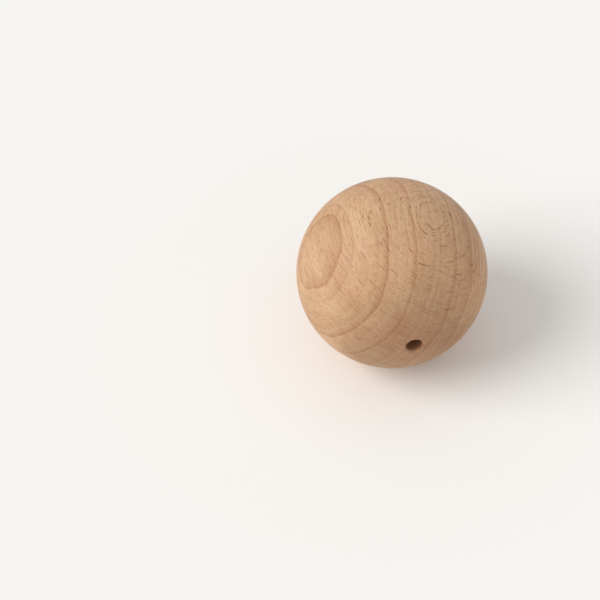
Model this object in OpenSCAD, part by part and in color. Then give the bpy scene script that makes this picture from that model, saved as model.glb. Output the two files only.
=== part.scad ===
// Turned wooden ball with a bore drilled right through its middle.
// The origin is the ball's centre and the bore lies level, along Y.

/* [Ball] */
// Diameter of the ball
ball_d = 60; // [20:1:100]

/* [Bore] */
// Diameter of the bore
bore_d = 5; // [3:0.5:12]
// Radius of the eased edge round each mouth of the bore
mouth_r = 0.8; // [0.2:0.1:1.5]

/* [Hidden] */

ball_r = ball_d / 2;
bore_r = bore_d / 2;

// The eased edge is an arc that touches the bore's wall and runs out on the ball's surface.
// The arc's circle stands proud of the surface by this much, so that the two cross cleanly.
mouth_proud = 0.001;
ease_x = bore_r + mouth_r;
ease_y = sqrt(pow(ball_r - mouth_r + mouth_proud, 2) - pow(ease_x, 2));
ease_centre = [ease_x, ease_y];
// How far a cutting shape runs past the wood
overrun = 1;

$fn = 180;

// What lies between the arc and the sharp corner that the drill leaves at a mouth
module mouth_corner() {
    difference() {
        polygon([
            [bore_r - overrun, ease_y],
            ease_centre,
            ease_centre * (ball_r + overrun) / (ball_r - mouth_r),
            [bore_r - overrun, ball_r + overrun],
        ]);
        translate(ease_centre) circle(r = mouth_r);
    }
}

// Half of the section through the bore's axis, with the axis upright at x = 0
module half_section() {
    difference() {
        circle(r = ball_r);
        translate([-ball_d, -ball_d]) square([ball_d + bore_r, 2 * ball_d]);
        mouth_corner();
        mirror([0, 1]) mouth_corner();
    }
}

// The ball is turned about the bore's axis, then laid down so that the bore is level
module ball() {
    color("burlywood")
        rotate([90, 0, 0])
            rotate_extrude() half_section();
}

ball();
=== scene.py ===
"""Looks of a drilled beech ball: its wood, the table under it, the light and the camera."""

import math

import bpy
import numpy as np
from mathutils import Matrix, Vector, noise


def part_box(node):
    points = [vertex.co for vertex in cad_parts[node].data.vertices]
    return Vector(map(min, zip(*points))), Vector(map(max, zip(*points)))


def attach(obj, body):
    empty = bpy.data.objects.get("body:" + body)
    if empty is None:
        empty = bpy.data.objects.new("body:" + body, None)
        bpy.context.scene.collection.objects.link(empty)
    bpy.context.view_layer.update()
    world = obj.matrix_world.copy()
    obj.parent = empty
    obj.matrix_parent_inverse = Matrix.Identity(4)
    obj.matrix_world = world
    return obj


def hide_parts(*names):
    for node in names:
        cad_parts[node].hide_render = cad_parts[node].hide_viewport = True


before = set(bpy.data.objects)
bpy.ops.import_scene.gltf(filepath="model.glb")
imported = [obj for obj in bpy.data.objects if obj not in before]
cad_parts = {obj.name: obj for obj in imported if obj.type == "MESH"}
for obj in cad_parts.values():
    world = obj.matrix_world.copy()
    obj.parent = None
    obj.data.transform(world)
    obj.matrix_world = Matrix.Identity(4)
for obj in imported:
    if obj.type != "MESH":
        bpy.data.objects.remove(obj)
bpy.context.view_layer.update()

MM = 0.001

# ---- The ball, as the CAD has it -------------------------------------------------------------
BALL_R = 30 * MM
BORE_R = 2.5 * MM
MOUTH_R = 0.8 * MM
BALL_CENTRE = Vector((0, 0, 0))
TABLE_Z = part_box("ball")[0].z

# ---- How many faces its surface has: round the bore, and along each line of the section -------
TURN_STEPS = 288
SPHERE_STEPS = 210
MOUTH_STEPS = 14
WALL_STEPS = 40

# ---- How it is worn --------------------------------------------------------------------------
SANDING_MM = 0.02
SANDING_WAVE_MM = 9
CRUMB_DEPTH_MM = 0.28
CRUMB_MM = 0.8
SPLINTER_MM = 0.25

# ---- Where the photograph shows it -----------------------------------------------------------
IMAGE_PX = 600
PHOTO_CENTRE_PX = (391.8, 272.7)
PHOTO_RADIUS_PX = 95.6
CAMERA_DISTANCE = 0.70
SENSOR_MM = 36

# ---- Directions in degrees: azimuth 0 is towards -Y, and -90 is the left, towards -X -----------
CAMERA_AZIMUTH = -11.9
CAMERA_ELEVATION = 50.9
WINDOW_AZIMUTH = -88
WINDOW_ELEVATION = 40

# ---- The light, and the table ----------------------------------------------------------------
WINDOW_STRENGTH = 1.85
WINDOW_WIDTH = math.radians(40)
WINDOW_COLOUR = (1.0, 0.99, 0.97)
FILL_STRENGTH = 0.60
FILL_COLOUR = (1.0, 0.99, 0.98, 1)
TABLE_HALF = 3.0

# ---- How the ball was cut from the tree ------------------------------------------------------
# The wood's own X runs outwards from the pith, its Y along the grain, and its Z round the pith.
GRAIN_TURN = math.radians(33)
GRAIN_TILT = math.radians(-4)
PITH_DISTANCE_MM = 180.0
YEAR_MM = 2.7
# Places the years' ends so that none of the strong ones crosses the bull's-eye
FIRST_YEAR = 1.5
# Along the grain, from the middle: where the surface begins to cut the fibres, and cuts them most
END_GRAIN_FROM_MM = 15.0
END_GRAIN_FULL_MM = 30.0
# Round the pith, from the middle: where the bull's-eye begins, and where only tall rays show fully
BULLS_EYE_FROM_MM = 26.0
BULLS_EYE_FULL_MM = 29.0

# ---- Rays ------------------------------------------------------------------------------------
# Each kind has one ray in each box of wood, whose sides in mm lie along the wood's X, Y and Z.
# thickest is the reach of the thickest ray from its middle, as a share of the box, and seed
# moves the pattern, so that no two kinds share one.
BROAD_RAYS = {"box": (8.0, 3.4, 0.30), "thickest": 0.52, "seed": 7.3}
FINE_RAYS = {"box": (6.0, 2.8, 0.12), "thickest": 0.55, "seed": 50.0}
HAIR_RAYS = {"box": (4.2, 1.5, 0.07), "thickest": 0.55, "seed": 90.0}
LONG_RAYS = {"box": (26.0, 3.0, 0.16), "thickest": 0.55, "seed": 33.0}
# Arc lengths round the pith at which tall rays lie, which the ball's surface only just reaches
TALL_RAYS_MM = (29.74, 29.37, 28.92, 28.42)
TALL_RAY_CORE_MM = 0.01
TALL_RAY_EDGE_MM = 0.05
TALL_RAY_SEED = 61.9


def srgb(red, green, blue):
    """A colour written in 0 to 255 as the eye sees it, in the linear values that shaders take."""
    def linear(value):
        share = value / 255
        return share / 12.92 if share <= 0.04045 else ((share + 0.055) / 1.055) ** 2.4
    return (linear(red), linear(green), linear(blue), 1)


# ---- Colours. A tint multiplies what lies under it -------------------------------------------
PALE_WOOD = srgb(219, 183, 144)
DEEP_WOOD = srgb(206, 167, 127)
ROSY_TINT = srgb(255, 246, 244)
LATE_WOOD_TINT = srgb(227, 209, 194)
STREAK_TINT = srgb(240, 233, 227)
FIBRE_TINT = srgb(241, 236, 232)
HAIR_RAY_TINT = srgb(221, 197, 174)
FINE_RAY_TINT = srgb(199, 162, 130)
BROAD_RAY_TINT = srgb(176, 130, 96)
TALL_RAY_TINT = srgb(208, 177, 150)
LONG_RAY_TINT = srgb(196, 160, 130)
END_GRAIN_TINT = srgb(219, 212, 205)
# Painted shade: this tint darkens the drilled wall all through the bore, as if shade fell inside it
BORE_PAINTED_SHADE = srgb(228, 216, 205)
TABLE_COLOUR = srgb(250, 249, 247)
BACKDROP_COLOUR = srgb(247.5, 245.6, 242)


class Graph:
    """A material's node tree. All its methods but node and feed give back sockets."""

    def __init__(self, name):
        self.material = bpy.data.materials.new(name)
        self.material.use_nodes = True
        self.tree = self.material.node_tree
        self.tree.nodes.clear()

    def node(self, kind, inputs=None, **settings):
        """A new node, with values or sockets fed to its inputs, and its settings set."""
        made = self.tree.nodes.new(kind)
        for name, value in settings.items():
            setattr(made, name, value)
        for socket, value in (inputs or {}).items():
            self.feed(made.inputs[socket], value)
        return made

    def feed(self, socket, value):
        """Links the input to a socket, or sets it to a plain value."""
        if isinstance(value, bpy.types.NodeSocket):
            self.tree.links.new(value, socket)
        else:
            socket.default_value = value

    def math(self, operation, *values):
        made = self.node("ShaderNodeMath", operation=operation)
        for socket, value in zip(made.inputs, values):
            self.feed(socket, value)
        return made.outputs[0]

    def vector(self, operation, *values):
        made = self.node("ShaderNodeVectorMath", operation=operation)
        for socket, value in zip(made.inputs, values):
            self.feed(socket, value)
        return made.outputs[1 if operation == "LENGTH" else 0]

    def ramp(self, value, low, high, start=0.0, end=1.0):
        """A smooth step from start to end as value goes from low to high."""
        made = self.node("ShaderNodeMapRange", interpolation_type="SMOOTHSTEP")
        for socket, setting in zip(made.inputs, (value, low, high, start, end)):
            self.feed(socket, setting)
        return made.outputs[0]

    def mix(self, share, first, second, blend_type="MIX"):
        """The first colour at share 0, and at 1 the second, or what blend_type makes of the two."""
        made = self.node("ShaderNodeMix", {0: share, 6: first, 7: second},
                         data_type="RGBA", blend_type=blend_type)
        return made.outputs[2]

    def tint(self, share, colour, factor):
        """The colour multiplied by factor, as far as share goes."""
        return self.mix(share, colour, factor, blend_type="MULTIPLY")

    def split(self, vector):
        """The vector's three numbers."""
        made = self.node("ShaderNodeSeparateXYZ", {0: vector})
        return made.outputs[0], made.outputs[1], made.outputs[2]

    def join(self, x, y, z):
        return self.node("ShaderNodeCombineXYZ", {0: x, 1: y, 2: z}).outputs[0]

    def turn(self, vector, axis, angle):
        """The vector turned about the X, Y or Z axis."""
        return self.node("ShaderNodeVectorRotate", {"Vector": vector, "Angle": angle},
                         rotation_type=axis + "_AXIS").outputs[0]

    def noise(self, vector, cell, detail=2.0, roughness=0.5, output=0):
        """Noise whose blobs are as large as cell: one number, or three with output=1."""
        scaled = self.vector("DIVIDE", vector, cell)
        made = self.node("ShaderNodeTexNoise", {"Vector": scaled, "Scale": 1.0, "Detail": detail,
                                                "Roughness": roughness})
        return made.outputs[output]

    def cells(self, vector, size):
        """One scattered point for each box of this size: the distance to it and its own colour."""
        scaled = self.vector("DIVIDE", vector, size)
        made = self.node("ShaderNodeTexVoronoi", {"Vector": scaled, "Scale": 1.0, "Exponent": 1.4},
                         distance="MINKOWSKI")
        # A box's own colour says where in the box its point lies, so a fresh one is drawn from it.
        fresh = self.node("ShaderNodeTexWhiteNoise", {"Vector": made.outputs["Color"]},
                          noise_dimensions="3D")
        return made.outputs["Distance"], fresh.outputs["Color"]


# ---- Where a point lies in the tree ----------------------------------------------------------

def wavy(graph, grain):
    """The wood's own coordinates in mm, with the slow waves and small ripples of its growth."""
    wave_length = (16.0, 30.0, 16.0)
    wave_height = (4.0, 0.0, 3.0)
    ripple_length = (2.2, 7.0, 2.2)
    ripple_height = (0.35, 0.0, 0.35)
    noise_middle = (0.5, 0.5, 0.5)
    elsewhere = graph.vector("ADD", grain, (31.0, 7.0, 12.0))
    waves = graph.noise(elsewhere, wave_length, detail=1.5, output=1)
    waves = graph.vector("MULTIPLY", graph.vector("SUBTRACT", waves, noise_middle), wave_height)
    ripples = graph.noise(grain, ripple_length, detail=1.0, output=1)
    ripples = graph.vector("MULTIPLY", graph.vector("SUBTRACT", ripples, noise_middle),
                           ripple_height)
    return graph.vector("ADD", graph.vector("ADD", grain, waves), ripples)


def polar(graph, grain):
    """Distance from the pith, place along the grain, and arc length round the pith, in mm."""
    radial, along, tangential = graph.split(grain)
    outwards = graph.math("ADD", radial, PITH_DISTANCE_MM)
    reach = graph.math("SQRT", graph.math("ADD", graph.math("MULTIPLY", outwards, outwards),
                                          graph.math("MULTIPLY", tangential, tangential)))
    angle = graph.math("ARCTAN2", tangential, outwards)
    return reach, along, graph.math("MULTIPLY", angle, PITH_DISTANCE_MM)


def wandering(graph, reach, along, round_pith):
    """The arc length round the pith as the rays have it, which wander a little on their way out."""
    wander_length = (1.6, 5.0, 1.0)
    wander_mm = 0.22
    wander = graph.noise(graph.join(reach, along, 0.0), wander_length, detail=1.0)
    return graph.math("ADD", round_pith, graph.math("MULTIPLY", wander, wander_mm))


# ---- What the wood shows there ---------------------------------------------------------------

def growth_rings(graph, reach):
    """0 to 1: how far a point lies into the darker wood that ends each year's ring."""
    spell_mm = 6.5
    years_gained = 2.2
    weather = graph.noise(graph.join(reach, 0.0, 0.0), (spell_mm, 1.0, 1.0), detail=0.0)
    years = graph.math("ADD", graph.math("DIVIDE", reach, YEAR_MM),
                       graph.math("MULTIPLY_ADD", weather, years_gained, FIRST_YEAR))
    season = graph.math("FRACT", years)
    slow = graph.ramp(season, low=0.15, high=0.95, start=0.0, end=0.70)
    quick = graph.ramp(season, low=0.75, high=0.95, start=0.0, end=0.30)
    winter = graph.ramp(season, low=0.94, high=1.0, start=1.0, end=0.0)
    year = graph.node("ShaderNodeTexWhiteNoise", {"W": graph.math("FLOOR", years)},
                      noise_dimensions="1D").outputs["Value"]
    strength = graph.ramp(year, low=0.0, high=1.0, start=0.2, end=1.0)
    dark = graph.math("MULTIPLY", graph.math("ADD", slow, quick), winter)
    return graph.math("MULTIPLY", dark, strength)


def rays(graph, reach, along, ray_side, box, thickest, seed):
    """0 to 1: the spindles of dark cells that run out from the pith, one in each box of wood."""
    place = graph.join(graph.math("ADD", reach, seed), graph.math("ADD", along, seed),
                       graph.math("ADD", ray_side, seed))
    distance, colour = graph.cells(place, box)
    chance, shade, _ = graph.split(colour)
    size = graph.ramp(chance, low=0.10, high=1.0, start=0.02, end=thickest)
    across = graph.math("DIVIDE", distance, size)
    spindle = graph.ramp(across, low=0.45, high=1.0, start=1.0, end=0.0)
    depth = graph.ramp(shade, low=0.0, high=1.0, start=0.25, end=1.0)
    return graph.math("MULTIPLY", spindle, depth)


def tall_rays(graph, reach, along, ray_side):
    """0 to 1: rays so tall that each shows as a broken ring where the ball's surface grazes it."""
    patch_size = (1.6, 1.2, 1.0)
    rings = 0.0
    for order, place in enumerate(TALL_RAYS_MM):
        off = graph.math("ABSOLUTE", graph.math("SUBTRACT", ray_side, place))
        ring = graph.ramp(off, TALL_RAY_CORE_MM, TALL_RAY_EDGE_MM, start=1.0, end=0.0)
        spot = graph.join(reach, along, 10 * place + TALL_RAY_SEED)
        patches = graph.noise(spot, patch_size, detail=1.0)
        # Each ring is a little more broken than the one inside it.
        missing_below = 0.36 + 0.05 * order
        whole_above = missing_below + 0.14
        ring = graph.math("MULTIPLY", ring, graph.ramp(patches, missing_below, whole_above))
        rings = graph.math("MAXIMUM", rings, ring)
    return rings


def drilled_wall(graph, in_mm):
    """0 to 1 on the bore's wall, and the height of the fine thread that the drill left there."""
    bore_mm = BORE_R / MM
    pitch_mm = 0.40
    across, along_bore, upright = graph.split(in_mm)
    off_axis = graph.vector("LENGTH", graph.join(across, 0.0, upright))
    wall = graph.ramp(off_axis, low=bore_mm + 0.05, high=bore_mm + 0.40, start=1.0, end=0.0)
    turn = graph.math("DIVIDE", graph.math("ARCTAN2", upright, across), math.tau)
    turns = graph.math("ADD", graph.math("DIVIDE", along_bore, pitch_mm), turn)
    return wall, graph.math("MULTIPLY", graph.math("PINGPONG", turns, 0.5), wall)


# ---- The wood's colour and surface -----------------------------------------------------------

def ground_colour(graph, grain):
    """The clouded colour that everything else in the wood tints."""
    cloud_size = (11.0, 30.0, 11.0)
    rosy_size = (18.0, 34.0, 18.0)
    clouds = graph.noise(grain, cloud_size, detail=2.0)
    elsewhere = graph.vector("ADD", grain, (5.0, 60.0, 5.0))
    rosy = graph.noise(elsewhere, rosy_size, detail=1.0)
    colour = graph.mix(graph.ramp(clouds, low=0.3, high=0.7), PALE_WOOD, DEEP_WOOD)
    return graph.tint(graph.ramp(rosy, low=0.4, high=0.7), colour, ROSY_TINT)


def with_fibres(graph, colour, grain, fibres):
    """The colour with the streaks and fibres that run along the grain."""
    streak_size = (0.7, 16.0, 0.7)
    streaks = graph.noise(grain, streak_size, detail=2.0, roughness=0.6)
    colour = graph.tint(graph.ramp(streaks, low=0.35, high=0.75), colour, STREAK_TINT)
    return graph.tint(graph.ramp(fibres, low=0.40, high=0.75), colour, FIBRE_TINT)


def with_rays(graph, colour, in_tree, broad, fine, shown):
    """The colour with the hair-thin, fine and broad rays, as far as shown, and the tall ones."""
    hair = rays(graph, *in_tree, **HAIR_RAYS)
    colour = graph.tint(graph.math("MULTIPLY", hair, shown), colour, HAIR_RAY_TINT)
    colour = graph.tint(graph.math("MULTIPLY", fine, shown), colour, FINE_RAY_TINT)
    colour = graph.tint(graph.math("MULTIPLY", broad, shown), colour, BROAD_RAY_TINT)
    return graph.tint(tall_rays(graph, *in_tree), colour, TALL_RAY_TINT)


def with_end_grain(graph, colour, in_tree, end_grain):
    """The colour with the darker end grain, and the long lines that rays draw across it."""
    long = rays(graph, *in_tree, **LONG_RAYS)
    colour = graph.tint(graph.math("MULTIPLY", long, end_grain), colour, LONG_RAY_TINT)
    return graph.tint(end_grain, colour, END_GRAIN_TINT)


def surface(graph, fibres, broad, fine, thread):
    """The normal of the sanded surface, with raised fibres, sunk rays and the drill's thread."""
    fibre_height = 0.5
    ray_depth = 0.4
    thread_height = 3.0
    raised = graph.math("MULTIPLY", fibres, fibre_height)
    sunk = graph.math("MULTIPLY", graph.math("ADD", broad, fine), ray_depth)
    height = graph.math("ADD", graph.math("SUBTRACT", raised, sunk),
                        graph.math("MULTIPLY", thread, thread_height))
    return graph.node("ShaderNodeBump", {"Strength": 0.25, "Distance": 0.03 * MM,
                                         "Height": height}).outputs[0]


def beech():
    """Fine-sanded bare beech: growth rings, rays, fibres, end grain and the drilled wall."""
    graph = Graph("beech")
    place = graph.node("ShaderNodeTexCoord").outputs["Object"]
    in_mm = graph.vector("DIVIDE", place, (MM, MM, MM))
    grain = graph.turn(graph.turn(in_mm, "Y", -GRAIN_TURN), "X", GRAIN_TILT)
    reach, along, round_pith = polar(graph, wavy(graph, grain))
    in_tree = (reach, along, wandering(graph, reach, along, round_pith))

    broad = rays(graph, *in_tree, **BROAD_RAYS)
    fine = rays(graph, *in_tree, **FINE_RAYS)
    fibre_size = (0.16, 3.2, 0.16)
    fibres = graph.noise(grain, fibre_size, detail=2.0, roughness=0.6)
    wall, thread = drilled_wall(graph, in_mm)
    from_middle = graph.math("ABSOLUTE", along)
    end_grain = graph.ramp(from_middle, END_GRAIN_FROM_MM, END_GRAIN_FULL_MM)
    off_end_grain = graph.ramp(end_grain, low=0.0, high=1.0, start=1.0, end=0.6)
    off_bulls_eye = graph.ramp(round_pith, BULLS_EYE_FROM_MM, BULLS_EYE_FULL_MM, start=1.0, end=0.5)
    shown = graph.math("MULTIPLY", off_end_grain, off_bulls_eye)

    colour = ground_colour(graph, grain)
    colour = graph.tint(growth_rings(graph, reach), colour, LATE_WOOD_TINT)
    colour = with_fibres(graph, colour, grain, fibres)
    colour = with_rays(graph, colour, in_tree, broad, fine, shown)
    colour = with_end_grain(graph, colour, in_tree, end_grain)
    # Painted shade: the bore's wall is darkened as if shade fell inside the bore
    colour = graph.tint(wall, colour, BORE_PAINTED_SHADE)

    sanded = graph.ramp(broad, low=0.0, high=1.0, start=0.56, end=0.46)
    rough = graph.math("MAXIMUM", sanded, wall)
    normal = surface(graph, fibres, broad, fine, thread)
    shader = graph.node("ShaderNodeBsdfPrincipled", {"Base Color": colour, "Roughness": rough,
                                                     "Normal": normal})
    graph.node("ShaderNodeOutputMaterial", {0: shader.outputs[0]})
    return graph.material


# ---- The ball's shape ------------------------------------------------------------------------

def arc(centre, radius, start, end, steps):
    """Points along an arc in the section, from the angle start up to, but not at, the angle end."""
    angles = start + (end - start) * np.arange(steps) / steps
    return [(centre[0] + radius * math.cos(angle), centre[1] + radius * math.sin(angle))
            for angle in angles]


def section():
    """Half of the ball's section: each point's distance from the bore's axis and place along it."""
    mouth_x = BORE_R + MOUTH_R
    mouth_y = math.sqrt((BALL_R - MOUTH_R) ** 2 - mouth_x ** 2)
    blend = math.atan2(mouth_y, mouth_x)
    places = np.linspace(-mouth_y, mouth_y, WALL_STEPS, endpoint=False)
    wall = [(BORE_R, place) for place in places]
    return (arc((mouth_x, mouth_y), MOUTH_R, math.pi, blend, MOUTH_STEPS)
            + arc((0, 0), BALL_R, blend, -blend, SPHERE_STEPS)
            + arc((mouth_x, -mouth_y), MOUTH_R, -blend, -math.pi, MOUTH_STEPS)
            + wall)


def turned(points, segments):
    """A closed surface made by turning the section about the Y axis."""
    rows = len(points)
    angles = [math.tau * step / segments for step in range(segments)]
    corners = [(off_axis * math.cos(angle), along, off_axis * math.sin(angle))
               for off_axis, along in points for angle in angles]
    faces = [(row * segments + step,
              row * segments + (step + 1) % segments,
              (row + 1) % rows * segments + (step + 1) % segments,
              (row + 1) % rows * segments + step)
             for row in range(rows) for step in range(segments)]
    mesh = bpy.data.meshes.new("turned_ball")
    mesh.from_pydata(corners, [], faces)
    return mesh


def wear(mesh):
    """Takes a little wood off: the sander's slow unevenness, and the mouths' crumbled edges."""
    inset = 0.35 * MOUTH_R
    splinter_share = 0.4
    sound_wood = 0.12
    rim = Vector((BORE_R + inset, math.sqrt(BALL_R ** 2 - BORE_R ** 2) - inset))
    normals = [vertex.normal.copy() for vertex in mesh.vertices]
    for vertex, normal in zip(mesh.vertices, normals):
        place = vertex.co / MM
        off_axis = math.hypot(vertex.co.x, vertex.co.z)
        from_rim = (Vector((off_axis, abs(vertex.co.y))) - rim).length / MOUTH_R
        rough = noise.noise(place / CRUMB_MM) + splinter_share * noise.noise(place / SPLINTER_MM)
        crumbs = max(0, rough - sound_wood)
        sanding_mm = SANDING_MM * (1 + noise.noise(place / SANDING_WAVE_MM))
        depth_mm = sanding_mm + CRUMB_DEPTH_MM * crumbs * math.exp(-from_rim ** 2)
        vertex.co -= normal * depth_mm * MM


def make_ball():
    """One turned piece of wood, which stands for the CAD's ball."""
    mesh = turned(section(), TURN_STEPS)
    wear(mesh)
    mesh.shade_smooth()
    mesh.materials.append(beech())
    ball = bpy.data.objects.new("turned_ball", mesh)
    bpy.context.scene.collection.objects.link(ball)
    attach(ball, "root")
    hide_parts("ball")


# ---- The table, the light and the camera -----------------------------------------------------

def table_top():
    """A matt, nearly white surface."""
    graph = Graph("table_top")
    shader = graph.node("ShaderNodeBsdfPrincipled", {"Base Color": TABLE_COLOUR, "Roughness": 1.0,
                                                     "Specular IOR Level": 0.0})
    graph.node("ShaderNodeOutputMaterial", {0: shader.outputs[0]})
    return graph.material


def make_table():
    """A flat square that touches the lowest point of the CAD's ball."""
    corners = [(-TABLE_HALF, -TABLE_HALF, TABLE_Z), (TABLE_HALF, -TABLE_HALF, TABLE_Z),
               (TABLE_HALF, TABLE_HALF, TABLE_Z), (-TABLE_HALF, TABLE_HALF, TABLE_Z)]
    mesh = bpy.data.meshes.new("table")
    mesh.from_pydata(corners, [], [(0, 1, 2, 3)])
    mesh.materials.append(table_top())
    table = bpy.data.objects.new("table", mesh)
    bpy.context.scene.collection.objects.link(table)


def direction(azimuth, elevation):
    """The unit vector towards an azimuth and elevation in degrees."""
    turn = math.radians(azimuth)
    rise = math.radians(elevation)
    return Vector((math.sin(turn) * math.cos(rise),
                   -math.cos(turn) * math.cos(rise),
                   math.sin(rise)))


def make_window():
    """Soft daylight from the left, as wide as a window and even all over the table."""
    light = bpy.data.lights.new("window", "SUN")
    light.energy = WINDOW_STRENGTH
    light.angle = WINDOW_WIDTH
    light.color = WINDOW_COLOUR
    window = bpy.data.objects.new("window", light)
    towards_window = direction(WINDOW_AZIMUTH, WINDOW_ELEVATION)
    window.rotation_euler = towards_window.to_track_quat("Z", "Y").to_euler()
    bpy.context.scene.collection.objects.link(window)


def make_room():
    """Even light from all round, and a pale backdrop that only the camera sees."""
    world = bpy.data.worlds.new("room")
    world.use_nodes = True
    nodes = world.node_tree.nodes
    links = world.node_tree.links
    fill = nodes["Background"]
    fill.inputs["Color"].default_value = FILL_COLOUR
    fill.inputs["Strength"].default_value = FILL_STRENGTH
    backdrop = nodes.new("ShaderNodeBackground")
    backdrop.inputs["Color"].default_value = BACKDROP_COLOUR
    seen = nodes.new("ShaderNodeLightPath").outputs["Is Camera Ray"]
    either = nodes.new("ShaderNodeMixShader")
    links.new(seen, either.inputs[0])
    links.new(fill.outputs[0], either.inputs[1])
    links.new(backdrop.outputs[0], either.inputs[2])
    links.new(either.outputs[0], nodes["World Output"].inputs["Surface"])
    bpy.context.scene.world = world


def make_camera():
    """A camera that sees the ball where the photograph has it, from the same side."""
    azimuth = math.radians(CAMERA_AZIMUTH)
    right = Vector((math.cos(azimuth), math.sin(azimuth), 0))
    back = direction(CAMERA_AZIMUTH, CAMERA_ELEVATION)
    up = back.cross(right)

    focal_px = PHOTO_RADIUS_PX * math.sqrt(CAMERA_DISTANCE ** 2 - BALL_R ** 2) / BALL_R
    metres_per_px = CAMERA_DISTANCE / focal_px
    aside = (PHOTO_CENTRE_PX[0] - IMAGE_PX / 2) * metres_per_px
    above = (IMAGE_PX / 2 - PHOTO_CENTRE_PX[1]) * metres_per_px

    lens = bpy.data.cameras.new("camera")
    lens.sensor_width = SENSOR_MM
    lens.lens = focal_px * SENSOR_MM / IMAGE_PX
    camera = bpy.data.objects.new("camera", lens)
    bpy.context.scene.collection.objects.link(camera)
    axes = Matrix((right, up, back)).transposed().to_4x4()
    eye = BALL_CENTRE - right * aside - up * above + back * CAMERA_DISTANCE
    camera.matrix_world = Matrix.Translation(eye) @ axes
    bpy.context.scene.camera = camera


make_ball()
make_table()
make_window()
make_room()
make_camera()

bpy.context.scene.view_settings.view_transform = "Standard"
